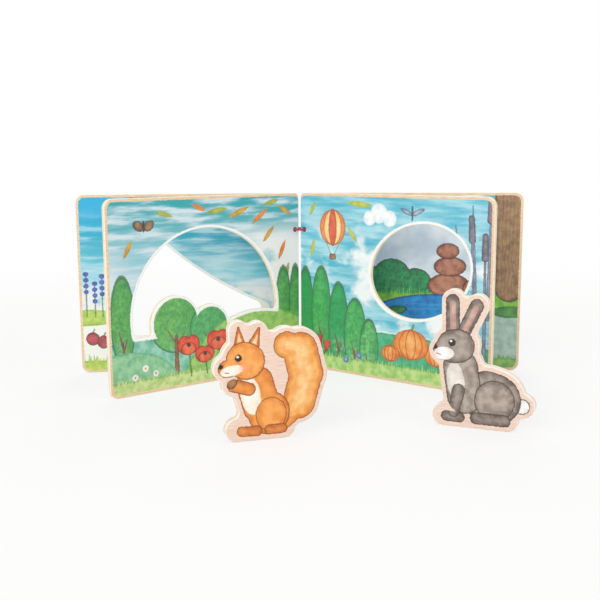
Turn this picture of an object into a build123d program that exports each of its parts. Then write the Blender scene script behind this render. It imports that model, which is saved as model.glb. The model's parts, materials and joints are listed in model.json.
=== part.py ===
"""Wooden picture book of four laced boards, standing open, with two play figures.

Units are millimetres. X runs along the spread, the reader is at -Y, and Z is up.
The origin is the middle of the footprint, on the surface that the book stands on.
A board is drawn as the reader sees it: x from its hinge line, y up from its foot.
"""
from build123d import *
from math import atan2, cos, degrees, pi, radians, sin, sqrt, tan
import os

os.makedirs("parts", exist_ok=True)

# The four equal boards
board_height = 150.0
board_width = 181.3
board_thickness = 4.0
outer_corner_radius = 7.0
spine_corner_radius = 4.5
edge_round = 0.8

# How the boards hang together at the spine
spine_gap = 1.4
closed_gap = 0.3
page_turn = 38.8
cover_angle = 30.3

# The lacing: one cord loop near the head and one near the foot
hole_diameter = 4.0
hole_inset = 5.0
hole_margin = 31.0
cord_diameter = 2.4
strap_stand = 1.3
cover_approach = 0.8
back_strap_stand = 1.0
back_strap_shoulder = (-1.9, 2.3)
back_strap_crown = (-6.0, 3.4)

# The arched window of the left page, over a line of round tree crowns and a hill.
# The crowns and the hill are drawn in arch radii, from where the arch's middle line ends.
arch_outer_margin = 20.4
arch_spine_margin = 25.2
arch_head_margin = 25.0
treeline_below_middle = 12.8
tree_crowns = [(0.449, 0.117, 0.323), (-0.02, 0.029, 0.264)]
hill_crown = (-0.71, -1.012, 1.173)
dip_share = 0.117
window_corner_radius = 3.0

# The tilted oval window of the right page
oval_from_outer_edge = 64.0
oval_from_head = 59.5
oval_half_length = 45.5
oval_half_height = 36.5
oval_tilt = 18.0

# The hill window of the front cover: a round shoulder outside and a hollow flank inside
hill_outer_margin = 30.0
hill_spine_margin = 24.0
hill_foot_margin = 30.0
shoulder_from_head = 58.0
peak_from_outer_side = 33.0
peak_from_head = 33.5
flank_end_from_inner_side = 6.0
flank_end_above_foot = 26.5
flank_hollow = 4.8
hill_corner_radius = 6.0

# The two standing figures, each sawn round a row of rounded limbs: from, to, radius
figure_thickness = 8.0
figure_border = 3.2
figure_edge_round = 1.0
figure_inner_corner = 4.0
figure_clearance = 1.5
squirrel_limbs = [
    ((-17, 4.5), (14, 4.5), 4.5),
    ((4, 14), (4, 15), 13.5),
    ((-1, 20), (-5, 34), 12),
    ((-12, 50), (-10, 49), 11.5),
    ((-14, 47), (-23, 45), 5.5),
    ((-6, 58), (-2.5, 67.5), 3.4),
    ((-14.5, 59), (-15, 68.5), 3.4),
    ((-9, 31), (-19, 34), 4),
    ((12, 10), (24, 20), 8),
    ((24, 20), (29, 38), 11),
    ((29, 38), (25, 54), 11.5),
    ((25, 54), (16, 58), 8.5),
]
hare_limbs = [
    ((-20, 4.5), (22, 4.5), 4.5),
    ((9, 19.5), (14, 18), 17),
    ((-6, 18), (-9, 38), 11.5),
    ((-11, 52), (-14, 51.5), 11),
    ((-18, 49), (-21, 48.5), 6.5),
    ((-8, 60), (1, 79.5), 4.4),
    ((-14.5, 61), (-15, 82), 4.4),
    ((31, 15), (32, 15), 5),
]
squirrel_across = -24.0
squirrel_turn = 17.4
hare_across = 114.4
hare_turn = -23.7

left, right = -1, 1
outer_edge = spine_gap / 2 + board_width
arch_radius = (outer_edge - arch_outer_margin - arch_spine_margin) / 2

# Depths behind the plane through the hinge line that a page turns about
page_front = closed_gap / 2
page_back = page_front + board_thickness
cover_hinge_depth = page_back + closed_gap + board_thickness + closed_gap / 2

# The same for a cover, whose hinge line lies just behind it
cover_front = -closed_gap / 2 - board_thickness
cover_back = -closed_gap / 2
cover_turn = page_turn - cover_angle
board_reach = outer_edge + cover_hinge_depth + figure_clearance
hole_heights = [hole_margin, board_height - hole_margin]


def along(side, turn):
    """The way from the hinge line to the outer edge of a board turned towards the reader."""
    return Vector(side * cos(radians(turn)), -sin(radians(turn)), 0)


def backwards(side, turn):
    """The way through the same board, from the reader's side to the far side."""
    return Vector(side * sin(radians(turn)), cos(radians(turn)), 0)


def cover_hinge(side):
    """Where a cover's hinge line stands, seen from the spine line."""
    return backwards(side, page_turn) * cover_hinge_depth


def lacing_half():
    """The right half of a cord loop in plan, from the front strap to the back strap."""
    page_hole = along(right, page_turn) * hole_inset
    cover_hole = cover_hinge(right) + along(right, cover_turn) * hole_inset
    back_exit = cover_hole + backwards(right, cover_turn) * (cover_back + back_strap_stand)
    return [
        page_hole + backwards(right, page_turn) * (page_front - strap_stand),
        page_hole + backwards(right, page_turn) * page_back,
        cover_hole + backwards(right, cover_turn) * (cover_front - cover_approach),
        back_exit,
        back_exit + Vector(*back_strap_shoulder),
        back_exit + Vector(*back_strap_crown),
    ]


def reach(limbs, side):
    """How far a figure's plate goes to one side of its own middle line."""
    ends = [side * x + radius for start, end, radius in limbs for x in (start[0], end[0])]
    return side * (max(ends) + figure_border)


def stand_off(limbs, across, turn):
    """How far in front of the spine a figure stands, so that no turning board meets it."""
    near_end = reach(limbs, right if turn > 0 else left)
    corner_x = across + near_end * cos(radians(turn)) - figure_thickness * sin(radians(turn))
    corner_y = near_end * sin(radians(turn)) + figure_thickness * cos(radians(turn))
    return sqrt(board_reach**2 - corner_x**2) + corner_y


# The footprint runs from the squirrel's near end to the back of the lacing
squirrel_forward = stand_off(squirrel_limbs, squirrel_across, squirrel_turn)
hare_forward = stand_off(hare_limbs, hare_across, hare_turn)
footprint_front = squirrel_forward - reach(squirrel_limbs, left) * sin(radians(squirrel_turn))
footprint_back = max(point.Y for point in lacing_half()) + cord_diameter / 2
spine_line = Vector(0, (footprint_front - footprint_back) / 2, 0)


def page_plane(side):
    """The plane of a page's front face, with x to the reader's right and y up."""
    out = backwards(side, page_turn)
    return Plane(spine_line + out * page_front, along(side, page_turn) * side, -out)


def cover_plane(side):
    """The same for the cover behind that page."""
    out = backwards(side, cover_turn)
    origin = spine_line + cover_hinge(side) + out * cover_front
    return Plane(origin, along(side, cover_turn) * side, -out)


def board_outline(side):
    """One board with rounded corners and its two lacing holes."""
    outer_end, spine_end = (-1, 0) if side == right else (0, -1)
    with BuildSketch() as outline:
        with Locations((side * (spine_gap + board_width) / 2, board_height / 2)):
            Rectangle(board_width, board_height)
        fillet(outline.vertices().group_by(Axis.X)[outer_end], outer_corner_radius)
        fillet(outline.vertices().group_by(Axis.X)[spine_end], spine_corner_radius)
        with Locations(*[(side * hole_inset, z) for z in hole_heights]):
            Circle(hole_diameter / 2, mode=Mode.SUBTRACT)
    return outline.sketch


def arch_window():
    """A round arch that stands on two tree crowns and the brow of a hill."""
    middle = left * (outer_edge - arch_outer_margin - arch_radius)
    middle_height = board_height - arch_head_margin - arch_radius
    treeline_height = middle_height - treeline_below_middle
    with BuildSketch() as window:
        with Locations((middle, middle_height)):
            Circle(arch_radius)
        with Locations((middle, treeline_height - arch_radius)):
            Rectangle(2 * arch_radius, 2 * arch_radius, mode=Mode.SUBTRACT)
        for across, up, share in (*tree_crowns, hill_crown):
            x = middle + left * across * arch_radius
            with Locations((x, treeline_height + up * arch_radius)):
                Circle(share * arch_radius, mode=Mode.SUBTRACT)
        dip_foot = window.vertices().sort_by(Axis.X)[0]
        fillet(dip_foot, dip_share * arch_radius)
        offset(amount=-window_corner_radius)
        offset(amount=window_corner_radius)
    return window.sketch


def hill_window():
    """A hill with a steep round shoulder outside and a hollow flank towards the spine."""
    outer, inner = outer_edge - hill_outer_margin, hill_spine_margin
    shoulder = (-outer, board_height - shoulder_from_head)
    peak = (-outer + peak_from_outer_side, board_height - peak_from_head)
    flank_end = (-inner - flank_end_from_inner_side, hill_foot_margin + flank_end_above_foot)
    with BuildSketch() as window:
        with BuildLine():
            Line((-inner, hill_foot_margin), (-outer, hill_foot_margin))
            Line((-outer, hill_foot_margin), shoulder)
            TangentArc(shoulder, peak, tangent=(0, 1))
            SagittaArc(peak, flank_end, -flank_hollow)
            Line(flank_end, (-inner, hill_foot_margin))
        make_face()
        fillet(window.vertices().group_by(Axis.Y)[0], hill_corner_radius)
        for corner in (peak, flank_end):
            fillet(window.vertices().sort_by_distance(corner)[0], hill_corner_radius)
    return window.sketch


def rim_edges(board):
    """The edges round both broad faces of a board, without its lacing holes."""
    broad = board.faces().sort_by(SortBy.AREA)[-2:]
    rims = broad[0].edges() + broad[1].edges()
    holes = rims.filter_by(GeomType.CIRCLE).filter_by(
        lambda edge: abs(edge.radius - hole_diameter / 2) < 0.01 and edge.length > hole_diameter
    )
    return [edge for edge in rims if edge not in holes]


def figure_outline(limbs):
    """The limbs with a border of bare wood round them, and every inner corner rounded."""
    with BuildSketch() as outline:
        for start, end, radius in limbs:
            run = Vector(*end) - Vector(*start)
            with Locations(Vector(*start) + run / 2 + Vector(0, figure_border)):
                SlotCenterToCenter(
                    run.length,
                    2 * (radius + figure_border),
                    rotation=degrees(atan2(run.Y, run.X)),
                )
        offset(amount=figure_inner_corner)
        offset(amount=-figure_inner_corner)
    return outline.sketch


def figure_plane(across, forward, turn):
    """The plane of a figure's face, standing in front of the book and turned about Z."""
    origin = spine_line + Vector(across, -forward, 0)
    face_out = Vector(sin(radians(turn)), -cos(radians(turn)), 0)
    return Plane(origin=origin, x_dir=(cos(radians(turn)), sin(radians(turn)), 0), z_dir=face_out)


def lacing_route(height):
    """One loop: across the front, through page and cover, across the back, and home."""
    half = [spine_line + point for point in lacing_half()]
    points = half + [Vector(-point.X, point.Y, 0) for point in reversed(half)]
    return [Vector(point.X, point.Y, height) for point in points]


def lacing_radii(points):
    """The arc at each corner of a closed route, as large as its two runs allow."""
    radii = []
    for index, point in enumerate(points):
        before = point - points[index - 1]
        after = points[(index + 1) % len(points)] - point
        half_turn = radians(before.get_angle(after)) / 2
        radii.append(0.45 * min(before.length, after.length) / tan(half_turn))
    return radii


def lacing_path(points, radii):
    """Straight runs joined by tangent arcs, all the way round."""
    with BuildLine() as path:
        FilletPolyline(*points, close=True, radius=radii)
    return path.wires()[0]


with BuildPart() as left_page:
    with BuildSketch(page_plane(left)):
        add(board_outline(left))
        add(arch_window(), mode=Mode.SUBTRACT)
    extrude(amount=-board_thickness)
    fillet(rim_edges(left_page), edge_round)

with BuildPart() as right_page:
    with BuildSketch(page_plane(right)):
        add(board_outline(right))
        with Locations((outer_edge - oval_from_outer_edge, board_height - oval_from_head)):
            Ellipse(oval_half_length, oval_half_height, rotation=oval_tilt, mode=Mode.SUBTRACT)
    extrude(amount=-board_thickness)
    fillet(rim_edges(right_page), edge_round)

with BuildPart() as front_cover:
    with BuildSketch(cover_plane(left)):
        add(board_outline(left))
        add(hill_window(), mode=Mode.SUBTRACT)
    extrude(amount=-board_thickness)
    fillet(rim_edges(front_cover), edge_round)

with BuildPart() as back_cover:
    with BuildSketch(cover_plane(right)):
        add(board_outline(right))
    extrude(amount=-board_thickness)
    fillet(rim_edges(back_cover), edge_round)

with BuildPart() as squirrel_figure:
    with BuildSketch(figure_plane(squirrel_across, squirrel_forward, squirrel_turn)):
        add(figure_outline(squirrel_limbs))
    extrude(amount=-figure_thickness)
    squirrel_faces = squirrel_figure.faces().sort_by(SortBy.AREA)[-2:]
    fillet(squirrel_faces.edges(), figure_edge_round)

with BuildPart() as hare_figure:
    with BuildSketch(figure_plane(hare_across, hare_forward, hare_turn)):
        add(figure_outline(hare_limbs))
    extrude(amount=-figure_thickness)
    hare_faces = hare_figure.faces().sort_by(SortBy.AREA)[-2:]
    fillet(hare_faces.edges(), figure_edge_round)

cords = {}
for name, height in zip(("lower_cord", "upper_cord"), hole_heights):
    route = lacing_route(height)
    radii = lacing_radii(route)
    with BuildPart() as cord:
        path = lacing_path(route, radii)
        with BuildSketch(Plane(origin=path @ 0, z_dir=path % 0)):
            Circle(cord_diameter / 2)
        sweep(path=path)
    cords[name] = cord
    section = pi * cord_diameter**2 / 4
    print(name, "radii", [round(r, 2) for r in radii], "length", round(path.length, 2))
    print(name, "volume", round(cord.part.volume, 2), "of", round(section * path.length, 2))

pieces = {
    "left_page": left_page,
    "right_page": right_page,
    "front_cover": front_cover,
    "back_cover": back_cover,
    "squirrel_figure": squirrel_figure,
    "hare_figure": hare_figure,
    **cords,
}
for name, piece in pieces.items():
    piece.part.label = name
    export_step(piece.part, f"parts/{name}.step")
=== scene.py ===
# %% [markdown]
# # A wooden picture book with a squirrel and a hare
# Four printed plywood boards stand open on their edges, laced at the spine with red cord,
# and two sawn figures stand in front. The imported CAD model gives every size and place, so
# it is loaded first and nothing in it is moved. This lesson gives it paint, cord and light.

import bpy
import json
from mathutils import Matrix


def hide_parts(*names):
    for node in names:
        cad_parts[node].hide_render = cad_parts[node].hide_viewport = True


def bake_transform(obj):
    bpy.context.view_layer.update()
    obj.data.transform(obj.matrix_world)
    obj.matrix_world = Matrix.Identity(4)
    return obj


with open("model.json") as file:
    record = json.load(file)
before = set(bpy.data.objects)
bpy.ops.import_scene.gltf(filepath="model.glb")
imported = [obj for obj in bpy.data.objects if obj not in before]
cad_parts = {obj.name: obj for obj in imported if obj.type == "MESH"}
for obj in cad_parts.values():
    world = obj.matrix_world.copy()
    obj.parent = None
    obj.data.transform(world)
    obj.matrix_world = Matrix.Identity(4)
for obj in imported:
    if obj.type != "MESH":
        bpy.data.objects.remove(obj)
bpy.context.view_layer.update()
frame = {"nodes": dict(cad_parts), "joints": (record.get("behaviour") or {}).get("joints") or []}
print("pieces:", sorted(frame["nodes"]))

# %% Tools for the rest of the lesson
import json
from functools import reduce
from itertools import accumulate
from math import cos, pi, radians, sin

import bpy
from mathutils import Matrix, Vector
from mathutils.kdtree import KDTree

bpy.ops.object.select_all(action="DESELECT")

# %% [markdown]
# ## The camera
# The camera looks slightly down at the book from a little above its top edge. A lens of
# 54 mm, a short telephoto, keeps the boards' tops nearly level as they come forward.

# %% Set the camera up
camera_place = Vector((0, -0.6637, 0.1772))
camera_pitch = radians(8.83)
camera_roll = radians(0.3)
lens_length = 54
sensor_width = 36
ahead = Vector((0, cos(camera_pitch), -sin(camera_pitch)))
above = Vector((0, sin(camera_pitch), cos(camera_pitch)))
across = Vector((1, 0, 0)) - above * sin(camera_roll)
bpy.ops.object.camera_add()
camera = bpy.context.object
camera.data.lens = lens_length
camera.data.sensor_width = sensor_width
camera.data.sensor_fit = "HORIZONTAL"
turned = Matrix((across, across.cross(ahead), -ahead)).transposed()
camera.matrix_world = Matrix.Translation(camera_place) @ turned.to_4x4()
bpy.context.scene.camera = camera
print("camera at", camera_place)

# %% [markdown]
# ## Writing a material as sums
# A printed picture is worked out for each point of the board, and in nodes that is a long
# chain of small sums. A class that wraps a socket lets Python write the chain: `1 - mask`
# adds a Math node and hands back its output. One method adds every other kind of node.

# %% A material and its values
class Finish:
    """A material, with one method that adds a node of any kind."""

    def __init__(self, name):
        self.material = bpy.data.materials.new(name)
        self.material.use_nodes = True
        self.tree = self.material.node_tree
        self.shader = self.tree.nodes["Principled BSDF"]

    def add(self, kind, settings, inputs, output=0):
        """Adds a node: its settings first, then the values or links of its sockets."""
        node = self.tree.nodes.new(kind)
        for name, setting in settings.items():
            setattr(node, name, setting)
        for socket, given in inputs.items():
            self.feed(node.inputs[socket], given)
        return Value(self, node.outputs[output])

    def feed(self, socket, given):
        """Links a value to a socket, or sets a plain number or colour there."""
        if isinstance(given, Value):
            self.tree.links.new(given.socket, socket)
        else:
            socket.default_value = given


class Value:
    """A socket that takes part in sums as a number does."""

    def __init__(self, finish, socket):
        self.finish = finish
        self.socket = socket

    def sum(self, operation, *terms):
        """Adds a Math node."""
        return self.finish.add("ShaderNodeMath", {"operation": operation}, dict(enumerate(terms)))

    def vector(self, operation, *terms, output="Vector"):
        """Adds a Vector Math node."""
        settings = {"operation": operation}
        return self.finish.add("ShaderNodeVectorMath", settings, dict(enumerate(terms)), output)

    def measure(self, operation, *terms):
        """The same, where vectors give a plain number."""
        return self.vector(operation, *terms, output="Value")

    def __add__(self, other):
        return self.sum("ADD", self, other)

    def __sub__(self, other):
        return self.sum("SUBTRACT", self, other)

    def __rsub__(self, other):
        return self.sum("SUBTRACT", other, self)

    def __mul__(self, other):
        return self.sum("MULTIPLY", self, other)

    def __neg__(self):
        return self.sum("MULTIPLY", self, -1)

    def __abs__(self):
        return self.sum("ABSOLUTE", self)

    def least(self, other):
        return self.sum("MINIMUM", self, other)

    def most(self, other):
        return self.sum("MAXIMUM", self, other)

    def wave(self):
        """The sine of the value."""
        return self.sum("SINE", self)

    def share(self, low, high):
        """0 where the value is low and 1 where it is high, and eased between."""
        settings = {"interpolation_type": "SMOOTHSTEP"}
        return self.finish.add("ShaderNodeMapRange", settings, {0: self, 1: low, 2: high})


def shade(code):
    """A screen colour such as d8e6ea, as the linear colour that a socket takes."""
    parts = [int(code[place : place + 2], 16) / 255 for place in (0, 2, 4)]
    linear = [part / 12.92 if part < 0.04 else ((part + 0.055) / 1.055) ** 2.4 for part in parts]
    return (*linear, 1)


def mix(under, over, cover):
    """Under, with over laid on it where cover is 1."""
    # A Mix node takes its colours at sockets 6 and 7, and gives the mixed one at 2
    sockets = {0: cover, 6: under, 7: over}
    return cover.finish.add("ShaderNodeMix", {"data_type": "RGBA"}, sockets, 2)


def between(light, dark, cover):
    """Light where cover is 0 and dark where it is 1, each written as a screen colour."""
    return mix(shade(light), shade(dark), cover)


# %% [markdown]
# ## A face to paint on
# Each board has its own ruler: x runs to the reader's right from the hinge line, z runs up
# from the foot, and depth runs from the front face to the back, all in millimetres. They
# are read from Object coordinates, which stay with the board when it turns. A little noise
# is added to x and z, so that painted edges waver as a brush does. A shape is how far a
# point is outside it, so the least of two shapes joins them.

# %% The ruler, the shapes and the brushes
mm = 0.001


class Picture:
    """One printed plate: where a point is on it, and the paints that are laid on it."""

    # How far an edge wavers, how soft it is, and how far in from it the paint dries darker
    waver = 1.1
    softness = 0.35
    pool = 2.6

    def __init__(self, finish, origin, right, out, front):
        self.finish = finish
        seen = finish.add("ShaderNodeTexCoord", {}, {}, "Object")
        normal = finish.add("ShaderNodeTexCoord", {}, {}, "Normal")
        place = seen.vector("SUBTRACT", seen, origin)
        per_metre = 1 / mm
        raw_x = place.measure("DOT_PRODUCT", place, right * per_metre)
        raw_z = place.measure("DOT_PRODUCT", place, (0, 0, per_metre))
        self.depth = place.measure("DOT_PRODUCT", place, out * per_metre) - front
        facing = abs(normal.measure("DOT_PRODUCT", normal, out))
        self.flat = facing.share(0.72, 0.9)
        paper = finish.add("ShaderNodeCombineXYZ", {}, {0: raw_x, 1: raw_z})
        self.clouds = self.noise(paper, (0.035, 0.045), 3)
        self.strokes = self.noise(paper, (0.022, 0.16), 5)
        self.blots = self.noise(paper, (0.16, 0.16), 3)
        self.grain = self.noise(paper, (1.3, 1.3), 2)
        self.fibre = self.noise(paper, (0.12, 2.4), 3)
        self.tufts = self.noise(paper, (0.8, 0.06), 2).share(0.45, 0.75)
        self.leafy = self.noise(paper, (0.36, 0.3), 2).share(0.5, 0.58)
        tremble = self.noise(paper, (0.5, 0.5), 3, "Color")
        shaken = tremble.vector("MULTIPLY_ADD", tremble, (self.waver, self.waver, 0), paper)
        self.point = shaken.vector("SUBTRACT", shaken, (self.waver / 2, self.waver / 2, 0))
        self.x = self.point.measure("DOT_PRODUCT", self.point, (1, 0, 0))
        self.z = self.point.measure("DOT_PRODUCT", self.point, (0, 1, 0))
        self.wet = self.blots.share(0.3, 0.75) * 0.7
        self.colour = shade("ffffff")

    def noise(self, paper, per_mm, detail, output=0):
        """Noise that is stretched by its own size along x and z."""
        stretched = paper.vector("MULTIPLY", paper, (*per_mm, 0))
        settings = {"noise_dimensions": "2D"}
        inputs = {"Vector": stretched, "Scale": 1.0, "Detail": detail}
        return self.finish.add("ShaderNodeTexNoise", settings, inputs, output)

    def disc(self, x, z, radius):
        """How far a point is outside a circle: less than 0 inside."""
        return self.point.measure("DISTANCE", self.point, (x, z, 0)) - radius

    def oval(self, x, z, half_width, half_height, turn=0):
        """The same for an ellipse, turned by some degrees."""
        lean = radians(turn)
        from_middle = self.point.vector("SUBTRACT", self.point, (x, z, 0))
        wide = (cos(lean) / half_width, sin(lean) / half_width, 0)
        high = (-sin(lean) / half_height, cos(lean) / half_height, 0)
        u = self.point.measure("DOT_PRODUCT", from_middle, wide)
        v = self.point.measure("DOT_PRODUCT", from_middle, high)
        both = self.finish.add("ShaderNodeCombineXYZ", {}, {0: u, 1: v})
        size = min(half_width, half_height)
        return both.measure("LENGTH", both) * size - size

    def limb(self, start, end, radius, end_radius=None):
        """The same for a round-ended bar that may taper."""
        run = Vector((*end, 0)) - Vector((*start, 0))
        from_start = self.point.vector("SUBTRACT", self.point, (*start, 0))
        pull = tuple(run / run.length_squared)
        along = self.point.measure("DOT_PRODUCT", from_start, pull).least(1).most(0)
        nearest = self.finish.add(
            "ShaderNodeVectorMath", {"operation": "SCALE"}, {0: tuple(run), "Scale": along}
        )
        apart = self.point.measure("DISTANCE", from_start, nearest)
        if end_radius is None:
            return apart - radius
        return apart - (along * (end_radius - radius) + radius)

    def leaf(self, x, z, half_length, half_width, turn):
        """The same for a leaf with two pointed ends: where two wide circles overlap."""
        radius = (half_length**2 + half_width**2) / (2 * half_width)
        across = radians(turn + 90)
        aside = Vector((cos(across), sin(across))) * (radius - half_width)
        sides = [self.disc(x + way * aside.x, z + way * aside.y, radius) for way in (-1, 1)]
        return sides[0].most(sides[1])

    def panel(self, low, high, corner):
        """The same for a rectangle with round corners."""
        middle = [(a + b) / 2 for a, b in zip(low, high)]
        half = [(b - a) / 2 - corner for a, b in zip(low, high)]
        offset = self.point.vector("SUBTRACT", self.point, (*middle, 0))
        beyond = offset.vector("SUBTRACT", offset.vector("ABSOLUTE", offset), (*half, 0))
        outside = beyond.vector("MAXIMUM", beyond, (0, 0, 0))
        wide = beyond.measure("DOT_PRODUCT", beyond, (1, 0, 0))
        high_side = beyond.measure("DOT_PRODUCT", beyond, (0, 1, 0))
        inside = wide.most(high_side).least(0)
        return outside.measure("LENGTH", outside) + inside - corner

    def glaze(self, code, cover):
        """Lays one thin colour over what is there."""
        self.colour = mix(self.colour, shade(code), cover)

    def brush(self, shape, light, dark, ink=None, line=0.45):
        """Fills a shape as watercolour dries: uneven, darker along its edge, then inked."""
        tone = shape.share(-self.pool, 0.4) * 0.6 + self.wet
        paint = between(light, dark, tone)
        cover = shape.share(self.softness, -self.softness)
        self.colour = mix(self.colour, paint, cover)
        if ink:
            self.trace(shape, ink, line)

    def trace(self, shape, ink, line=0.45):
        """Draws along the edge of a shape."""
        self.glaze(ink, abs(shape).share(line + 0.2, line - 0.15) * 0.85)

    def draw(self, start, end, ink, line):
        """Draws one thin line."""
        self.trace(self.limb(start, end, 0.1), ink, line)


def joined(shapes):
    """Several shapes as one."""
    return reduce(Value.least, shapes)


def limbs_of(picture, *limbs):
    """A row of limbs as one shape."""
    return joined([picture.limb(*limb) for limb in limbs])


# %% [markdown]
# ## Bare plywood
# The boards are birch plywood. Its faces are pale with a fine grain that runs along the
# board, and its sawn edges show the middle ply as a darker stripe. The sawn edges are painted
# paler than the faces, a painted highlight for the light that falls on them. They are told
# from the faces by the surface normal, because a wall is the same wood all through.

# %% Wood for faces and sawn edges
relief_depth = 0.12 * mm


def bare_wood(picture, light, dark):
    """The colour of an unprinted face."""
    return between(light, dark, picture.fibre.share(0.3, 0.75))


def sawn_edge(picture, thickness, light, dark):
    """The colour of a sawn wall, with a darker middle ply."""
    half_ply = thickness / 6
    blur = 0.12
    plies = abs(picture.depth - thickness / 2).share(half_ply + blur, half_ply - blur)
    return between(light, dark, plies * 0.55 + picture.blots.share(0.4, 0.8) * 0.35)


def dress(piece, material):
    """Gives a piece one material and nothing else."""
    piece.data.materials.clear()
    piece.data.materials.append(material)


def finish_plate(picture, name, face, walls, roughness):
    """Puts face and walls on a CAD piece, with the wood's grain in low relief."""
    finish = picture.finish
    sockets = finish.shader.inputs
    height = picture.grain * 0.3 + picture.fibre * 0.5
    relief = {"Strength": 0.25, "Distance": relief_depth, "Height": height}
    finish.feed(sockets["Base Color"], mix(walls, face, picture.flat))
    finish.feed(sockets["Roughness"], roughness)
    finish.feed(sockets["Normal"], finish.add("ShaderNodeBump", {}, relief))
    dress(frame["nodes"][name], finish.material)
    print(name, "has", len(finish.tree.nodes), "nodes in its finish")


# %% [markdown]
# ## The board's print
# The picture stops a little short of the board's edge, where the wood stays bare, and it
# leaves a white rim round each window. The windows are written once more as shapes, from
# the same centres and radii as the saw cuts, so that the rim keeps an even width.

# %% Sizes of the boards and of their print
board_height = 150.0
board_reach = 182.0
board_thickness = 4.0
border = 2.3
spine_border = 1.0
print_corner = 5.5
rim_width = 2.3
rim_white = "fbfaf6"
bare_face = ("f3d9b8", "e2bb8e")
# The sawn walls are painted paler than the bare face, a painted highlight for the light on the
# edges; their darker middle ply is the wood's own
lit_sawn_wall = ("faf0e0", "e6cba6")
# Painted shade: the walls of the drilled holes are laid dark maroon, where the cord runs through
# them in shadow
hole_shade = "5c2426"
bare_roughness = 0.62
ink_gloss = 0.2
LEFT, RIGHT = -1, 1
hole_inset = 5.0
hole_radius = 2.0
cord_heights = {"lower_cord": 31.0, "upper_cord": 119.0}
page_turn = radians(38.8)
cover_turn = radians(8.5)
page_front = 0.15
cover_front = -4.15
hinge_line = {joint["name"]: Vector(joint["pos_m"]) for joint in frame["joints"]}
board_stands = {
    "left_page": ("pages_hinge", LEFT, page_turn, page_front),
    "right_page": ("pages_hinge", RIGHT, page_turn, page_front),
    "front_cover": ("front_cover_hinge", LEFT, cover_turn, cover_front),
    "back_cover": ("back_cover_hinge", RIGHT, cover_turn, cover_front),
}
print("boards:", list(board_stands))


def board_picture(name):
    """A picture with the board's own ruler."""
    joint, side, turn, front = board_stands[name]
    foot = Vector((*hinge_line[joint].xy, 0))
    right = Vector((cos(turn), -side * sin(turn), 0))
    out = Vector((side * sin(turn), cos(turn), 0))
    return Picture(Finish(name + "_print"), foot, right, out, front)


def print_area(picture, side):
    """The printed part of the board, inside its bare border."""
    near, far = spine_border, board_reach - border
    low = min(side * near, side * far)
    high = max(side * near, side * far)
    return picture.panel((low, border), (high, board_height - border), print_corner)


def finish_board(picture, name, front_colour, rim=None):
    """Puts the pictures, the rim, the border and the sawn edges together."""
    side = board_stands[name][1]
    middle = board_thickness / 2
    behind = picture.depth.share(middle - 0.1, middle + 0.1)
    printed = mix(front_colour, picture.colour, behind)
    if rim:
        printed = mix(printed, shade(rim_white), rim.share(rim_width + 0.3, rim_width - 0.5))
    paper_tone = picture.grain.share(0.25, 0.8) * 0.06
    printed = mix(printed, shade("ffffff"), paper_tone)
    ink_cover = print_area(picture, side).share(0.15, -0.15)
    face = mix(bare_wood(picture, *bare_face), printed, ink_cover)
    # Painted shade on the walls of the drilled holes, where the cord sits in shadow
    holes = [picture.disc(side * hole_inset, z, hole_radius) for z in cord_heights.values()]
    shaded_holes = joined(holes).share(1.6, 0.9)
    # The sawn walls' paler tone is a painted highlight of the lit edges
    walls = mix(sawn_edge(picture, board_thickness, *lit_sawn_wall), shade(hole_shade), shaded_holes)
    roughness = ink_cover * picture.flat * -ink_gloss + bare_roughness + picture.grain * 0.08
    finish_plate(picture, name, face, walls, roughness)


# %% [markdown]
# ## Foliage, flowers and leaves
# The pictures share small motifs. A tree is a trunk under an oval crown, a flower is a few
# ovals round a disc, and a drifting leaf is what two wide circles have in common. Each is
# laid with the same brush, so all of them have the same dried edge.

# %% Small motifs
# On the pages a trunk starts at this height, behind the grass
tree_foot = 12


def round_tree(picture, x, foot, height, width, tall, light, dark):
    """A trunk with two boughs under an oval crown."""
    crown = picture.oval(x, height, width, tall)
    picture.brush(crown, light, dark, "2f6b3c")
    inside = crown.share(0, -2)
    mist = inside * picture.blots.share(0.4, 0.7) * picture.z.share(height, foot)
    picture.glaze("b4e2cf", mist * 0.8)
    picture.glaze(dark, inside * picture.x.share(x - width * 0.1, x + width) * 0.55)
    picture.glaze(dark, picture.leafy * inside * 0.5)
    middle = height - tall * 0.45
    trunk = ((x, foot), (x, middle), width * 0.1, width * 0.06)
    left_bough = ((x, middle - 6), (x - width * 0.35, height - tall * 0.2), 0.8, 0.4)
    right_bough = ((x, middle - 9), (x + width * 0.32, middle + 2), 0.8, 0.4)
    picture.brush(limbs_of(picture, trunk, left_bough, right_bough), "a0714a", "6b4128")


def drifting_leaves(picture, leaves, light, dark):
    """Long willow leaves on the wind: middle, half length and turn of each."""
    shapes = []
    for x, z, half_length, turn in leaves:
        shapes.append(picture.leaf(x, z, half_length, 1.2 + half_length * 0.09, turn))
    picture.brush(joined(shapes), light, dark)


def poppy(picture, x, z, size):
    """An open poppy on its stem."""
    ink = "8a2417"
    picture.brush(picture.limb((x + 2, 8), (x, z), 0.7), "7fb04a", "3f7a33")
    petals = []
    for way in (-1, 1):
        aside = size * 0.38 * way
        petals.append(picture.oval(x + aside, z + 0.4, size * 0.72, size * 0.8, -18 * way))
    picture.brush(joined(petals), "ee5a35", "c9331f", ink, 0.35)
    near_petal = picture.oval(x, z - size * 0.3, size * 0.75, size * 0.55)
    picture.brush(near_petal, "f4764a", "d4412a", ink, 0.3)
    picture.brush(picture.disc(x, z + size * 0.05, size * 0.2), "4a3330", "2a1d1c")


def daisies(picture, places, size, petals, heart):
    """Small round flowers, each with a round heart."""
    picture.brush(joined([picture.disc(x, z, size) for x, z in places]), *petals)
    picture.brush(joined([picture.disc(x, z, size * 0.38) for x, z in places]), *heart)


def ribbed(picture, x, z, wide, tall, ribs, ink, line):
    """A round body whose ribs are narrower ovals on the same middle line."""
    for part, light, dark in ribs:
        picture.brush(picture.oval(x, z, wide * part, tall), light, dark, ink, line)


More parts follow.
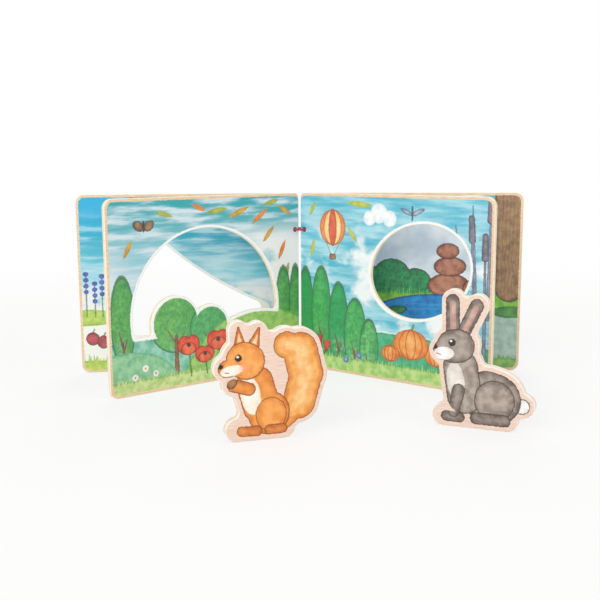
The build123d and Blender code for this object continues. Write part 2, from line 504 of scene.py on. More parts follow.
def pumpkin(picture, x, z, wide, tall):
    """A ribbed pumpkin with its stalk."""
    stalk = picture.limb((x, z + tall * 0.8), (x + 2.5, z + tall * 1.35), 1.3, 0.9)
    picture.brush(stalk, "8fae4e", "4f7a35")
    ribs = ((1, "f49a45", "dd6c22"), (0.66, "f8ab55", "e27a2b"), (0.28, "fbbd6c", "ea8a38"))
    ribbed(picture, x, z, wide, tall, ribs, "a9501c", 0.3)


# %% [markdown]
# ## Plain meadow pictures
# A reader who turns the book round sees quiet pictures on the backs of the boards: a sky,
# two hills and a few round trees. One function paints them all, in each board's colours.

# %% The meadow on the back of a board
far_brow = (50, 8, 95, 52)
near_brow = (140, -8, 90, 44)
tree_sink = 8
tree_green = ("86c35e", "3c8f47")


def brow_height(distance):
    """How high the hills reach at a distance from the spine."""
    reach = []
    for x, z, half_width, half_height in (far_brow, near_brow):
        part = min(1, abs(distance - x) / half_width)
        reach.append(z + half_height * (1 - part**2) ** 0.5)
    return max(reach)


def meadow(picture, side, sky, far_hill, near_hill, trees):
    """A quiet picture for the back of a board, with trees whose feet the hills hide."""
    picture.colour = between(sky[0], sky[1], picture.strokes.share(0.28, 0.72))
    picture.glaze(sky[2], picture.z.share(96, 150) * picture.strokes.share(0.34, 0.64))
    picture.glaze("f6f7f6", picture.clouds.share(0.5, 0.68) * picture.z.share(120, 70) * 0.8)
    for distance, size in trees:
        foot = brow_height(distance) - tree_sink
        crown = foot + size * 2.5
        round_tree(picture, side * distance, foot, crown, size, size * 1.2, *tree_green)
    for (x, z, half_width, half_height), hill in ((far_brow, far_hill), (near_brow, near_hill)):
        picture.brush(picture.oval(side * x, z, half_width, half_height), *hill)
    picture.glaze("f4f0d8", picture.leafy * picture.z.share(40, 12) * 0.25)
    turf = picture.z - (picture.tufts * 4 + 12)
    picture.brush(turf, "c8dd8d", "86b74c", "5f9a3c", 0.25)


# %% [markdown]
# ## The left page
# The left page is a pale teal sky over green treetops, with warm leaves on the wind and
# poppies at its foot. The window's lower edge follows two round crowns and a hill, so the
# painted crowns share their centres with the saw cuts.

# %% The arched window as a shape
arch_middle = (-93.4, 56.8)
arch_radius = 68.2
treeline = 44.0
crowns = [(-124.0, 52.0, 22.0), (-92.0, 46.0, 18.0)]
brow = (-45.0, -25.0, 80.0)
corner_ease = 5.0


def eased(first, second):
    """The greater of two distances, with a round corner where they cross."""
    return first.sum("SMOOTH_MAX", first, second, corner_ease)


def arch_window(picture):
    """How far a point is outside the window: the wood between sky and treetops."""
    bites = [-picture.disc(x, z, radius) for x, z, radius in (*crowns, brow)]
    ground = reduce(Value.most, [treeline - picture.z, *bites])
    return eased(picture.disc(*arch_middle, arch_radius), ground)


# %% Paint the left page
def paint_left_page():
    picture = board_picture("left_page")
    picture.colour = between("d6e6ec", "8cc8d6", picture.strokes.share(0.28, 0.72))
    picture.glaze("0aa3ab", picture.z.share(96, 146) * picture.strokes.share(0.34, 0.62))
    light_patch = picture.x.share(-72, -34) * picture.z.share(132, 108)
    picture.glaze("f5f2ef", light_patch * picture.clouds.share(0.25, 0.5))
    picture.glaze("e3e8ec", picture.x.share(-150, -178) * picture.z.share(125, 80) * 0.7)
    ochre = [(-63, 136, 11, 22), (-33, 117, 9, 48), (-16, 136, 8, -30), (-164, 112, 8, 62)]
    orange = [(-42, 132, 10, 38), (-19, 103, 9, 66), (-101, 141, 7, -24)]
    olive = [(-84, 138, 10, 8), (-14, 84, 8, 75), (-132, 137, 8, -14), (-30, 143, 8, 14)]
    drifting_leaves(picture, ochre, "e3b43f", "b98518")
    drifting_leaves(picture, orange, "f2993a", "d8700f")
    drifting_leaves(picture, olive, "bfc34a", "8f9c2c")
    picture.brush(picture.z - (picture.clouds * 22 + 34), "9ad3bc", "3fa585")
    for x, z, wide, tall in ((-170, 58, 10, 34), (-18, 56, 8, 32), (-5, 48, 7, 40)):
        round_tree(picture, x, tree_foot, z, wide, tall, "66b356", "2a8a43")
    for (x, z, radius), light in zip(crowns, ("74bd5e", "5fb46c")):
        round_tree(picture, x, tree_foot, z, radius + 1, radius + 1, light, "2f9148")
    picture.brush(picture.disc(*brow[:2], brow[2] + 1), "a9d06b", "62aa49")
    picture.brush(picture.oval(-168, 4, 46, 30), "9bd0a0", "56a878")
    turf = picture.z - (picture.tufts * 4.5 + 11)
    picture.brush(turf, "d3e09a", "8fbb4e", "5f9a3c", 0.3)
    for x, z, size in ((-113, 33, 9), (-98, 24, 8), (-85, 34, 9.5)):
        poppy(picture, x, z, size)
    white_flowers = [(-152, 20), (-143, 15), (-161, 14), (-60, 20), (-50, 15)]
    daisies(picture, white_flowers, 2.6, ("ffffff", "e3e6ea"), ("f3c23c", "d99a22"))
    wings = [picture.oval(-150 + 4.5 * way, 129, 4.6, 3.4, 35 * way) for way in (-1, 1)]
    picture.brush(joined(wings), "b08a56", "5d4634", "3c2f2a", 0.3)
    picture.brush(picture.limb((-150, 125), (-150, 132), 0.9), "4a3a34", "2d2421")
    front_colour = picture.colour
    meadow(
        picture, LEFT, ("cfe6ee", "8cc9de", "3fa9cf"), ("a5d3a0", "63ad76"), ("b4d77a", "6fb04c"),
        [(28, 13), (88, 17), (150, 12)],
    )
    finish_board(picture, "left_page", front_colour, arch_window(picture))


paint_left_page()

# %% [markdown]
# ## The right page
# The right page has a bright blue sky with a striped balloon, a row of poplars, pumpkins
# in the grass and grey-blue reeds beside the oval window.

# %% Paint the right page
oval_window = (118.0, 90.5, 45.5, 36.5, 18)


def balloon(picture, x, z, size):
    """A striped balloon over its basket."""
    gores = ((1, "f39a4c", "e0702c"), (0.68, "fbe2a8", "f0c274"), (0.3, "ea6f45", "cf4a2a"))
    ribbed(picture, x, z, size, size * 1.12, gores, "a5562a", 0.25)
    basket_top = z - size * 1.7
    for way in (-1, 1):
        picture.draw((x + way * size * 0.5, z - size), (x + way * 2, basket_top), "8a6a4a", 0.2)
    basket = picture.panel((x - 3, basket_top - 4.5), (x + 3, basket_top), 1)
    picture.brush(basket, "c08d55", "8a5c32", "5f3e22", 0.3)


def reeds(picture, stems):
    """Reed mace: thin stems, each with a soft brown-grey head round its tip."""
    for foot, tip in stems:
        picture.brush(picture.limb(foot, tip, 1.5, 0.7), "a3adbb", "6c788c", "4d5669", 0.25)
        lean = (Vector(tip) - Vector(foot)).normalized()
        head_foot = Vector(tip) - lean * 3
        head_tip = Vector(tip) + lean * 13
        head = picture.limb(tuple(head_foot), tuple(head_tip), 2.7, 2.2)
        picture.brush(head, "8f8691", "5a5360", "423c48", 0.3)


def paint_right_page():
    picture = board_picture("right_page")
    picture.colour = between("a9dde9", "45b6ce", picture.strokes.share(0.28, 0.7))
    picture.glaze("f4f9fa", picture.clouds.share(0.45, 0.66) * picture.z.share(140, 100))
    leaves = [(62, 142, 13, -4), (14, 104, 8, 80), (55, 117, 8, -52), (14, 137, 7, 62)]
    drifting_leaves(picture, leaves, "cfd05a", "a9b63c")
    puffs = ((72, 131, 6), (81, 135, 8), (91, 131, 6.5))
    picture.brush(joined([picture.disc(*puff) for puff in puffs]), "ffffff", "d5e8f0")
    balloon(picture, 35, 122, 13)
    picture.brush(picture.z - (picture.clouds * 18 + 28), "4bb788", "169256")
    poplars = (
        (6, 42, 9, 44, "1ea24f"), (23, 50, 10, 38, "48b95a"), (41, 40, 10, 36, "26a962"),
        (58, 34, 11, 30, "58bd64"), (72, 24, 9, 24, "76c976"),
    )
    for x, z, wide, tall, light in poplars:
        round_tree(picture, x, tree_foot, z, wide, tall, light, "108e48")
    stems = (
        ((169, 16), (164, 121)), ((176, 14), (175, 108)),
        ((158, 14), (169, 62)), ((178, 60), (179, 136)),
    )
    reeds(picture, stems)
    tips = ((162, 52), (151, 40), (158, 84), (150, 128), (164, 143))
    bladed = [picture.limb((171, 16), tip, 2.2, 0.3) for tip in tips]
    picture.brush(joined(bladed), "aab6c4", "66758c", "55627a", 0.2)
    dragonfly = [picture.oval(112 + 5 * way, 137, 5.6, 1.6, 24 * way) for way in (-1, 1)]
    picture.brush(joined(dragonfly), "bcc9da", "8494ad", "59677f", 0.25)
    picture.brush(picture.limb((112, 131), (112, 141), 0.8), "6d7890", "4a5368")
    turf = picture.z - (picture.tufts * 5 + 13)
    picture.brush(turf, "c4e08c", "74b948", "4f9a3c", 0.3)
    for x, z, wide, tall in ((136, 26, 11, 8.5), (112, 32, 16, 12), (93, 23, 8.5, 6.5)):
        pumpkin(picture, x, z, wide, tall)
    for x, z in ((20, 27), (29, 23)):
        strawberry = picture.limb((x, z), (x - 0.5, z - 5), 4, 1.6)
        picture.brush(strawberry, "dd5046", "a92c30", "7d2226", 0.3)
        picture.brush(picture.oval(x, z + 3.4, 3.6, 1.3), "7db552", "46803a")
    blue_flowers = [(152, 24), (160, 31), (166, 22), (62, 17), (49, 12), (147, 15)]
    daisies(picture, blue_flowers, 2.7, ("74a5e6", "3d72c4"), ("f6d65c", "dba93a"))
    front_colour = picture.colour
    meadow(
        picture, RIGHT, ("c7e5ef", "86c6e0", "49aed6"), ("9ccfb0", "5cab84"), ("aed98a", "66b157"),
        [(20, 12), (112, 15), (160, 11)],
    )
    finish_board(picture, "right_page", front_colour, picture.oval(*oval_window))


paint_right_page()

# %% [markdown]
# ## The two covers
# The insides of the covers show through the windows, so they are painted strongly where a
# window frames them: deep water and stones behind the oval, open sky behind the arch.

# %% Paint the back cover
def paint_back_cover():
    picture = board_picture("back_cover")
    picture.colour = between("f2f6fa", "cad8e6", picture.clouds.share(0.3, 0.7))
    picture.glaze("2f9fb4", picture.x.share(142, 156) * picture.z.share(92, 104) * 0.85)
    bushes = ((50, 72, 18), (74, 78, 16), (94, 72, 14), (156, 72, 17), (170, 84, 10))
    hedge = picture.limb((50, 66), (110, 62), 10)
    thicket = joined([*[picture.disc(*bush) for bush in bushes], hedge])
    picture.brush(thicket, "1a9a58", "006a3c", "0a4427", 0.5)
    picture.glaze("005c34", thicket.share(0, -2) * picture.leafy * 0.6)
    picture.brush(picture.z - (picture.tufts * 6 + 65), "8fc83c", "2f962f")
    stones = ((122, 72, 17, 10), (123, 88, 13, 8), (121, 101, 9, 6.5), (143, 70, 9, 7))
    for x, z, wide, tall in stones:
        picture.brush(picture.oval(x, z, wide, tall), "c58568", "8a432f", "4a231a", 0.4)
    picture.brush(picture.oval(110, 34, 66, 30), "0890d6", "0055a4", "0b3f7a", 0.5)
    ripples = (picture.z * 1.3 + picture.strokes * 9).wave().share(0.82, 1.0)
    picture.glaze("4fa3d3", ripples * picture.oval(110, 34, 60, 26).share(0, -4) * 0.6)
    pads = ((78, 50, 9, 3.5, 8), (90, 41, 7, 2.6, -6), (146, 54, 10, 3.4, 10))
    picture.brush(joined([picture.oval(*pad) for pad in pads]), "3f9a4c", "176035", "0c4527", 0.35)
    cliff = picture.limb((172, 70), (171, 160), 11, 12)
    picture.brush(cliff, "a8835a", "6d4a30", "3f2c1f", 0.5)
    clefts = (picture.x * 2.1 + picture.clouds * 12).wave().share(0.7, 1)
    picture.glaze("5e4029", clefts * cliff.share(0, -1) * 0.5)
    picture.brush(picture.oval(172, 30, 30, 22), "b4ccbd", "86a897")
    picture.brush(picture.oval(174, 50, 16, 5), "5a9a45", "1f5f2e")
    picture.brush(picture.z - (picture.tufts * 5 + 10), "9cc56a", "4f8f3f")
    front_colour = picture.colour
    meadow(
        picture, RIGHT, ("b8e1ef", "6fc0e0", "2ea0d2"), ("9fd49a", "55a86a"), ("b9dc7c", "6cb04a"),
        [(36, 17), (60, 11), (104, 14), (152, 18)],
    )
    finish_board(picture, "back_cover", front_colour)


paint_back_cover()

# %% Paint the front cover
shoulder_middle = (-126.4, 92.0)
shoulder_radius = 25.6
flank_middle = (91.8, 333.2)
flank_radius = 302.4
hill_foot = 30.0
hill_inner_side = -24.0


def hill_window(picture):
    """How far a point is outside the window, with its round shoulder and hollow flank."""
    turned = (-1, 1, 0)
    moved = (shoulder_middle[0], -shoulder_middle[1], 0)
    past = picture.point.vector("MULTIPLY_ADD", picture.point, turned, moved)
    corner = past.vector("MAXIMUM", past, (0, 0, 0))
    shoulder = corner.measure("LENGTH", corner) - shoulder_radius
    flank = -picture.disc(*flank_middle, flank_radius)
    foot = (hill_foot - picture.z).most(picture.x - hill_inner_side)
    return eased(eased(shoulder, flank), foot)


def paint_front_cover():
    picture = board_picture("front_cover")
    picture.colour = between("bfe5ee", "5cc2d6", picture.strokes.share(0.3, 0.7))
    picture.glaze("06a9c4", picture.z.share(84, 124) * picture.strokes.share(0.34, 0.6))
    picture.glaze("0facd8", picture.z.share(104, 144) * picture.x.share(-148, -160))
    picture.glaze("f3eff0", picture.z.share(84, 62) * picture.clouds.share(0.3, 0.5))
    picture.glaze("f7f5ef", picture.z.share(54, 44))
    picture.brush(picture.oval(-176, 47, 26, 7), "c5d96a", "94b83f")
    for x, top in ((-176, 84), (-169, 76), (-163, 82)):
        picture.draw((x, 48), (x, top), "3f7d3c", 0.4)
        buds = [picture.oval(x, top - 5 * step, 2.4 - step * 0.1, 1.9) for step in range(4)]
        picture.brush(joined(buds), "6f7fd6", "36459a")
    for x, z in ((-172, 29), (-163, 26)):
        picture.brush(picture.disc(x, z, 5.4), "c9545a", "86303c", "5c2430", 0.3)
        picture.draw((x, z + 5), (x + 1.5, z + 8), "5b3a2a", 0.4)
    picture.brush(picture.z - (picture.tufts * 7 + 10), "c9dc66", "8bb23a")
    front_colour = picture.colour
    meadow(
        picture, LEFT, ("c2e6f2", "72c2e0", "2c9fd0"), ("94cfae", "4fa57c"), ("c6dd78", "86b545"),
        [(14, 11), (166, 11), (60, 9)],
    )
    finish_board(picture, "front_cover", front_colour, hill_window(picture))


paint_front_cover()

# %% [markdown]
# ## The lacing
# Each loop is a soft two-ply cord. The line it takes is drawn once as a closed NURBS curve
# from listed points, and two strands are wound round it. A loop crosses three hinges, and a
# stretch can bend over one hinge only, so it is wound as six stretches. Their ends meet
# inside the holes, and behind the spine, where both ride on one board.

# %% The line of one loop
spine_foot = Vector((*hinge_line["pages_hinge"].xy, 0))
half_route = [
    (3.176, -4.029), (6.497, 0.102), (9.602, 1.068),
    (10.46, 6.804), (8.56, 9.104), (4.46, 10.204),
]
steps_per_point = 24


def loop_line(height):
    """Points read from the closed route's own smooth curve, in metres."""
    corners = half_route + [(-x, y) for x, y in reversed(half_route)]
    curve = bpy.data.curves.new("route", "CURVE")
    curve.dimensions = "3D"
    curve.resolution_u = steps_per_point
    spline = curve.splines.new("NURBS")
    spline.points.add(len(corners) - 1)
    for point, (x, y) in zip(spline.points, corners):
        point.co = (*(spine_foot + Vector((x, y, height)) * mm), 1)
    spline.use_cyclic_u = True
    spline.order_u = 3
    route = bpy.data.objects.new("route", curve)
    bpy.context.collection.objects.link(route)
    bpy.context.view_layer.update()
    line = bpy.data.meshes.new_from_object(route)
    points = [vertex.co.copy() for vertex in line.vertices]
    bpy.data.objects.remove(route)
    bpy.data.meshes.remove(line)
    return points


print("one loop has", len(loop_line(cord_heights["lower_cord"])), "points")

# %% [markdown]
# A loop is cut where it passes a hole or crosses behind the spine. A cut is found as the
# point of the line that lies nearest a given place, so the route may be changed freely.
# Each stretch names its two cuts, its two boards, and the part of it that does the bending.

# %% Where each stretch starts and ends
page_hole = (4.9, -2.0)
cover_hole = (10.0, 4.2)
behind = (7.0, 9.8)
stretches = [
    ("front", (page_hole, RIGHT), (page_hole, LEFT), "right_page", "left_page", (0.12, 0.88)),
    ("left", (page_hole, LEFT), (cover_hole, LEFT), "left_page", "front_cover", (0.12, 0.88)),
    ("back_left", (cover_hole, LEFT), (behind, LEFT), "front_cover", "left_page", (0.55, 0.95)),
    ("back", (behind, LEFT), (behind, RIGHT), "left_page", "right_page", (0.03, 0.97)),
    ("back_right", (behind, RIGHT), (cover_hole, RIGHT), "right_page", "back_cover", (0.05, 0.45)),
    ("right", (cover_hole, RIGHT), (page_hole, RIGHT), "back_cover", "right_page", (0.12, 0.88)),
]
print("stretches of a loop:", [stretch[0] for stretch in stretches])


def nearest(points, place, height):
    """The number of the point of the line that lies nearest a place in plan."""
    (x, y), side = place
    target = spine_foot + Vector((side * x, y, height)) * mm
    return min(range(len(points)), key=lambda index: (points[index] - target).length)


# %% One strand
strand_radius = 0.62
strand_offset = 0.6
twist_pitch = 3.4
up = Vector((0, 0, 1))


def wound_strand(name, line, run, phase):
    """A round strand, wound round part of the line."""
    curve = bpy.data.curves.new(name, "CURVE")
    curve.dimensions = "3D"
    curve.bevel_depth = strand_radius * mm
    curve.bevel_resolution = 2
    curve.use_fill_caps = True
    spline = curve.splines.new("POLY")
    spline.points.add(len(run) - 1)
    for point, (index, travelled) in zip(spline.points, run):
        ahead_of = (line[(index + 1) % len(line)] - line[index - 1]).normalized()
        sideways = ahead_of.cross(up)
        turn = 2 * pi * travelled / (twist_pitch * mm) + phase
        offset = sideways * cos(turn) + up * sin(turn)
        point.co = (*(line[index] + offset * strand_offset * mm), 1)
    strand = bpy.data.objects.new(name, curve)
    bpy.context.collection.objects.link(strand)
    return strand


# %% [markdown]
# The cord's dye is uneven along its length, so the finish reads how far along the loop each
# vertex lies, from an attribute on the mesh. A very fine noise stands for the cotton's fuzz.

# %% The cord's finish
def cord_finish():
    finish = Finish("red_cotton")
    place = finish.add("ShaderNodeTexCoord", {}, {}, "Object")
    run = finish.add("ShaderNodeAttribute", {"attribute_name": "along"}, {}, "Fac")
    lengthwise = finish.add("ShaderNodeCombineXYZ", {}, {0: run * 0.9})
    dye = {"Vector": lengthwise, "Scale": 1.0, "Detail": 2.0}
    uneven = finish.add("ShaderNodeTexNoise", {"noise_dimensions": "2D"}, dye)
    fuzz = finish.add("ShaderNodeTexNoise", {}, {"Vector": place, "Scale": 2600.0, "Detail": 2.0})
    colour = between("d8556a", "a02238", uneven.share(0.3, 0.7) * 0.7 + fuzz * 0.3)
    finish.feed(finish.shader.inputs["Base Color"], colour)
    finish.feed(finish.shader.inputs["Roughness"], fuzz * 0.1 + 0.75)
    relief = {"Strength": 0.5, "Distance": 0.08 * mm, "Height": fuzz}
    finish.feed(finish.shader.inputs["Normal"], finish.add("ShaderNodeBump", {}, relief))
    finish.shader.inputs["Sheen Weight"].default_value = 0.25
    return finish.material


red_cotton = cord_finish()
print(red_cotton.name, "has", len(red_cotton.node_tree.nodes), "nodes")

# %% Wind both loops
def twist_along(line):
    """How far along the loop each point lies, eased so that the twist closes on itself."""
    lengths = [(point - line[index - 1]).length for index, point in enumerate(line)]
    travelled = list(accumulate(lengths))
    whole_turns = round(travelled[-1] / (twist_pitch * mm))
    ease = whole_turns * twist_pitch * mm / travelled[-1]
    return [distance * ease for distance in travelled]


def mark_along(piece, line, run):
    """Writes on each vertex how far along the loop it lies, in millimetres."""
    mark = piece.data.attributes.new("along", "FLOAT", "POINT")
    tree = KDTree(len(run))
    for place, (index, travelled) in enumerate(run):
        tree.insert(line[index], place)
    tree.balance()
    for vertex in piece.data.vertices:
        mark.data[vertex.index].value = run[tree.find(vertex.co)[1]][1] / mm


def wind_stretch(loop, line, travelled, stretch):
    """One stretch of a loop: two strands joined into one piece."""
    label, start, end, first_body, second_body, bend = stretch
    height = cord_heights[loop]
    first, last = nearest(line, start, height), nearest(line, end, height)
    steps = (first - last) % len(line)
    numbers = [(first - step) % len(line) for step in range(steps + 1)]
    run = [(index, travelled[index]) for index in numbers]
    strands = [wound_strand(f"{loop}_{label}_{ply}", line, run, ply * pi) for ply in range(2)]
    bpy.ops.object.select_all(action="DESELECT")
    for strand in strands:
        strand.select_set(True)
    bpy.context.view_layer.objects.active = strands[0]
    bpy.ops.object.convert(target="MESH")
    bpy.ops.object.join()
    piece = bpy.context.object
    piece.name = f"{loop}_{label}"
    mark_along(piece, line, run)
    bpy.ops.object.shade_smooth()
    dress(piece, red_cotton)
    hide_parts(loop)
    bend_from, bend_to = [line[numbers[round(steps * share)]] for share in bend]
    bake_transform(piece)
    bpy.ops.object.select_all(action="DESELECT")
    return piece


for loop, height in cord_heights.items():
    line = loop_line(height)
    travelled = twist_along(line)
    wound = [wind_stretch(loop, line, travelled, stretch) for stretch in stretches]
    print(loop, "is wound as", [len(piece.data.polygons) for piece in wound], "faces")

# %% [markdown]
# ## The two figures
# The figures are thicker plates, sawn round the animal with a border of bare wood. Their
# print lies on the front face only. The body is nearly the row of rounded limbs that the
# saw followed, without the border, and each part is brushed and inked in turn, back to
# front. Each figure stands where the CAD model has it: so many millimetres across from the
# spine and forward of it, and turned by so many degrees.

# %% A figure's ruler and finish
figure_thickness = 8.0
figure_border = 3.2
figure_face = ("efd9ca", "e2c0ac")
# The figures' sawn walls are painted paler than their faces, a painted highlight for the light on
# the edges; the darker middle ply is the wood's own
lit_figure_wall = ("fbf1e4", "e8cfb2")
fur_pool = 4.0
figure_stands = {
    "squirrel_figure": (-24.0, 212.191, 17.4),
    "hare_figure": (114.4, 189.64, -23.7),
}


def figure_picture(name):
    """A picture with the figure's own ruler: x from its middle line, z from its foot."""
    shift, forward, degrees_turned = figure_stands[name]
    turn = radians(degrees_turned)
    origin = spine_foot + Vector((shift, -forward, figure_border)) * mm
    right = Vector((cos(turn), sin(turn), 0))
    out = Vector((-sin(turn), cos(turn), 0))
    picture = Picture(Finish(name + "_print"), origin, right, out, 0.0)
    picture.pool = fur_pool
    return picture


def finish_figure(picture, name, animal):
    """Bare wood all round, with the animal printed on the front face."""
    wood = bare_wood(picture, *figure_face)
    printed = mix(wood, picture.colour, animal.share(0.4, 0.1))
    middle = figure_thickness / 2
    face = mix(wood, printed, picture.depth.share(middle, middle - 0.4))
    # The walls' paler tone is a painted highlight of the lit edges
    walls = sawn_edge(picture, figure_thickness, *lit_figure_wall)
    finish_plate(picture, name, face, walls, picture.grain * 0.1 + 0.5)


def eye(picture, x, z, size):
    """A round dark eye with its light."""
    picture.brush(picture.disc(x, z, size), "3a2b26", "171210")
    picture.brush(picture.disc(x - size * 0.25, z + size * 0.35, size * 0.32), "ffffff", "ffffff")


# %% Paint the squirrel
def paint_squirrel():
    picture = figure_picture("squirrel_figure")
    ink = "8a4f22"
    feet = limbs_of(picture, ((-14, 3.6), (-4, 3.2), 3.2), ((4, 3.4), (13, 3.4), 3))
    tail = [
        ((12, 10), (24, 20), 8), ((24, 20), (29, 38), 11),
        ((29, 38), (25, 54), 11.5), ((25, 54), (16, 58), 8.5),
    ]
    tail_shape = limbs_of(picture, *tail)
    haunch = picture.limb((4, 14), (4, 15), 13.5)
    chest = picture.limb((-1, 20), (-5, 34), 12)
    head = limbs_of(picture, ((-12, 50), (-10, 49), 11.5), ((-14, 47), (-23, 45), 5.5))
    ears = limbs_of(picture, ((-6, 58), (-2, 70), 4.2, 0.5), ((-14.5, 58), (-15.4, 71), 4.2, 0.5))
    arm = picture.limb((-9, 31), (-19, 34), 4)
    animal = joined([feet, tail_shape, haunch, chest, head, ears, arm])
    picture.colour = between("f0a552", "d97d2e", picture.wet)
    picture.brush(tail_shape, "f6b765", "de8636", ink)
    plume = [(start, end, radius * 0.5) for start, end, radius in tail[1:]]
    picture.brush(limbs_of(picture, *plume), "f6cf8f", "eda455")
    fringe = (tail_shape + picture.strokes * 3 - 1).share(-3.2, -1) * tail_shape.share(0, -0.5)
    picture.glaze("c96f22", fringe * 0.35)
    picture.brush(haunch.least(chest), "ef9f4c", "d3772c", ink)
    picture.brush(picture.oval(-8, 27, 6.5, 13, 10), "fffaf0", "f4e2c8")
    picture.brush(picture.oval(5.5, 13.5, 10, 11), "f3a855", "dc8236", ink, 0.3)
    picture.brush(feet, "e7944a", "bf6726", ink)
    picture.brush(ears, "ef9f4c", "cc6f28", ink)
    ear_hollows = ((-6, 58), (-3.2, 65.5), 2.1, 0.4), ((-14.5, 58), (-15, 66.5), 2.1, 0.4)
    picture.brush(limbs_of(picture, *ear_hollows), "fbe3c0", "f3c795")
    picture.brush(head, "f5ab58", "dd8234", ink)
    picture.brush(picture.oval(-20, 43.6, 7.5, 3.4, 10), "fffaf2", "f8e6d0")
    picture.brush(arm, "ef9f4c", "cf7029", ink)
    acorn = picture.oval(-20, 36, 4, 3.2, 60)
    picture.brush(acorn, "b98452", "7d5029", "54341c", 0.35)
    eye(picture, -15.5, 51.5, 2.3)
    picture.brush(picture.oval(-27.2, 46.6, 1.9, 1.5), "3a3238", "1c171c")
    picture.draw((-24, 42.6), (-21.5, 42.2), "5f3a24", 0.2)
    picture.glaze("f39a86", picture.oval(-12, 45, 3, 2).share(0.8, -1) * 0.5)
    finish_figure(picture, "squirrel_figure", animal)


paint_squirrel()

# %% Paint the hare
def paint_hare():
    picture = figure_picture("hare_figure")
    ink = "463a35"
    feet = limbs_of(picture, ((-18, 3.8), (-9, 3.6), 3.4), ((2, 4), (21, 4), 3.8))
    haunch = picture.limb((9, 19.5), (14, 18), 17)
    chest = picture.limb((-6, 18), (-9, 38), 11.5)
    head = limbs_of(picture, ((-11, 52), (-14, 51.5), 11), ((-18, 49), (-21, 48.5), 6.5))
    far_ear = picture.limb((-8, 60), (1, 79.5), 4.4)
    near_ear = picture.limb((-14.5, 61), (-15, 82), 4.4)
    tail_shape = picture.limb((31, 15), (32, 15), 5)
    animal = joined([feet, haunch, chest, head, far_ear, near_ear, tail_shape])
    picture.colour = between("b3a598", "76685f", picture.wet)
    picture.brush(tail_shape, "ffffff", "dcd6d0", ink)
    picture.brush(haunch, "a99b8f", "6a5c54", ink)
    picture.brush(chest, "b5a89c", "7a6c62", ink)
    picture.brush(picture.oval(-12, 28, 6, 13, 8), "f1ebe3", "d3c8bc")
    picture.brush(picture.oval(14, 17, 13, 13.5), "b3a599", "74665d", ink, 0.35)
    picture.brush(feet, "9b8d82", "62554d", ink)
    picture.brush(picture.limb((-10, 22), (-13, 7), 4.2, 3.4), "a2948a", "6a5c54", ink, 0.35)
    for ear, core in ((far_ear, ((-7, 62), (0.6, 78))), (near_ear, ((-14.5, 62), (-15, 80.5)))):
        picture.brush(ear, "9d8f84", "62554d", ink)
        picture.brush(picture.limb(*core, 1.9), "dfbfb2", "b88f84")
    picture.brush(head, "b0a296", "73655c", ink)
    picture.brush(picture.oval(-20.5, 46.4, 7, 4.4, 4), "ffffff", "e9e2db")
    eye(picture, -15, 54, 2.5)
    picture.brush(picture.oval(-26.6, 50.4, 2.1, 1.6), "4a4148", "1f1a1e")
    picture.draw((-25.5, 46), (-22.5, 45.4), ink, 0.2)
    finish_figure(picture, "hare_figure", animal)


paint_hare()

# %% [markdown]
# ## Floor, world and lamps
# A product photograph uses a white sweep and large soft lamps. The floor is white paper that
# glows for the camera, so that it stays white and still takes a shadow near the book. The
# lamps are wide, weak and even, because painted colours should look as they are written.

# %% The white floor
floor_size = 14
floor_drop = 0.2 * mm
floor_glow = 0.7
bright_from = 0.35
bright_to = 1.1


def seen_directly(finish):
    """1 for rays from the viewer, a gloss or a glass, and 0 for all others."""
    path = finish.add("ShaderNodeLightPath", {}, {}, "Is Camera Ray")
    node = path.socket.node
    gloss = Value(finish, node.outputs["Is Glossy Ray"])
    glass = Value(finish, node.outputs["Is Transmission Ray"])
    return path.most(gloss).most(glass)


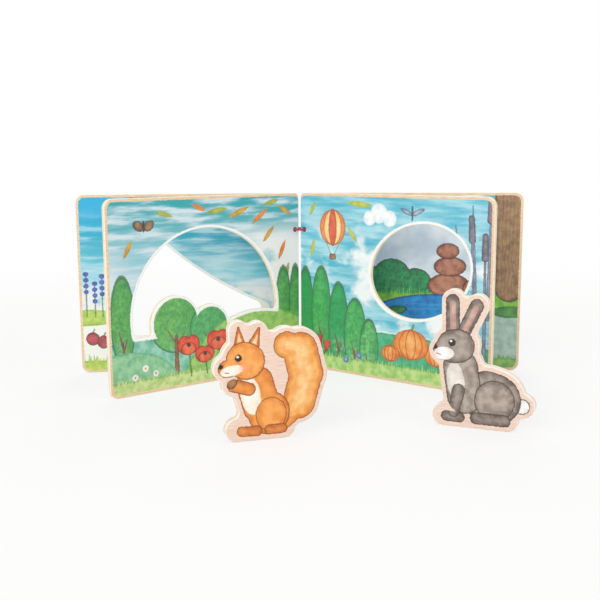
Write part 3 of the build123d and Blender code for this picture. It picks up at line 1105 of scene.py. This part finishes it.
def white_floor():
    """A wide sheet of paper that grows brighter with its distance from the book."""
    bpy.ops.mesh.primitive_plane_add(size=floor_size, location=(0, 0, -floor_drop))
    floor = bpy.context.object
    floor.name = "floor"
    finish = Finish("white_paper")
    finish.shader.inputs["Base Color"].default_value = shade("f4f3f1")
    finish.shader.inputs["Roughness"].default_value = 0.9
    glow = finish.add("ShaderNodeEmission", {}, {"Color": shade("ffffff"), "Strength": 1.0})
    paper = Value(finish, finish.shader.outputs[0])
    place = finish.add("ShaderNodeTexCoord", {}, {}, "Object")
    away = place.measure("DISTANCE", place, (0, 0, 0)).share(bright_from, bright_to)
    cover = seen_directly(finish) * (away * (1 - floor_glow) + floor_glow)
    both = finish.add("ShaderNodeMixShader", {}, {0: cover, 1: paper, 2: glow})
    finish.feed(finish.tree.nodes["Material Output"].inputs["Surface"], both)
    dress(floor, finish.material)
    bpy.ops.object.select_all(action="DESELECT")


white_floor()
print("the floor is", floor_size, "m wide")

# %% The world
world_light = 0.45


def studio_world():
    """White where it is seen or shows in a gloss, and a dimmer light for the rest."""
    world = bpy.data.worlds.new("studio")
    world.use_nodes = True
    tree = world.node_tree
    background = tree.nodes["Background"]
    background.inputs["Color"].default_value = (1, 1, 1, 1)
    path = tree.nodes.new("ShaderNodeLightPath")
    direct = tree.nodes.new("ShaderNodeMath")
    direct.operation = "MAXIMUM"
    strength = tree.nodes.new("ShaderNodeMapRange")
    strength.inputs["To Min"].default_value = world_light
    tree.links.new(path.outputs["Is Camera Ray"], direct.inputs[0])
    tree.links.new(path.outputs["Is Glossy Ray"], direct.inputs[1])
    tree.links.new(direct.outputs[0], strength.inputs["Value"])
    tree.links.new(strength.outputs[0], background.inputs["Strength"])
    return world


bpy.context.scene.world = studio_world()
print("the world lights the book at", world_light)

# %% The lamps
def soft_lamp(name, place, aim, size, watts):
    """A square lamp that looks at a point."""
    bpy.ops.object.light_add(type="AREA", location=place)
    lamp = bpy.context.object
    lamp.name = name
    lamp.data.size = size
    lamp.data.energy = watts
    lamp.rotation_euler = (Vector(aim) - Vector(place)).to_track_quat("-Z", "Y").to_euler()


book_middle = (0, 0.05, 0.08)
soft_lamp("front_lamp", (-0.8, -1.55, 1.0), book_middle, 1.4, 20)
soft_lamp("right_lamp", (1.5, -0.9, 0.9), book_middle, 1.2, 7)
soft_lamp("top_lamp", (0, 0.2, 1.9), book_middle, 1.6, 7)
soft_lamp("back_lamp", (0.2, 1.8, 1.2), book_middle, 1.4, 10)
bpy.context.scene.view_settings.view_transform = "Standard"
print("lamps:", len(bpy.data.lights))
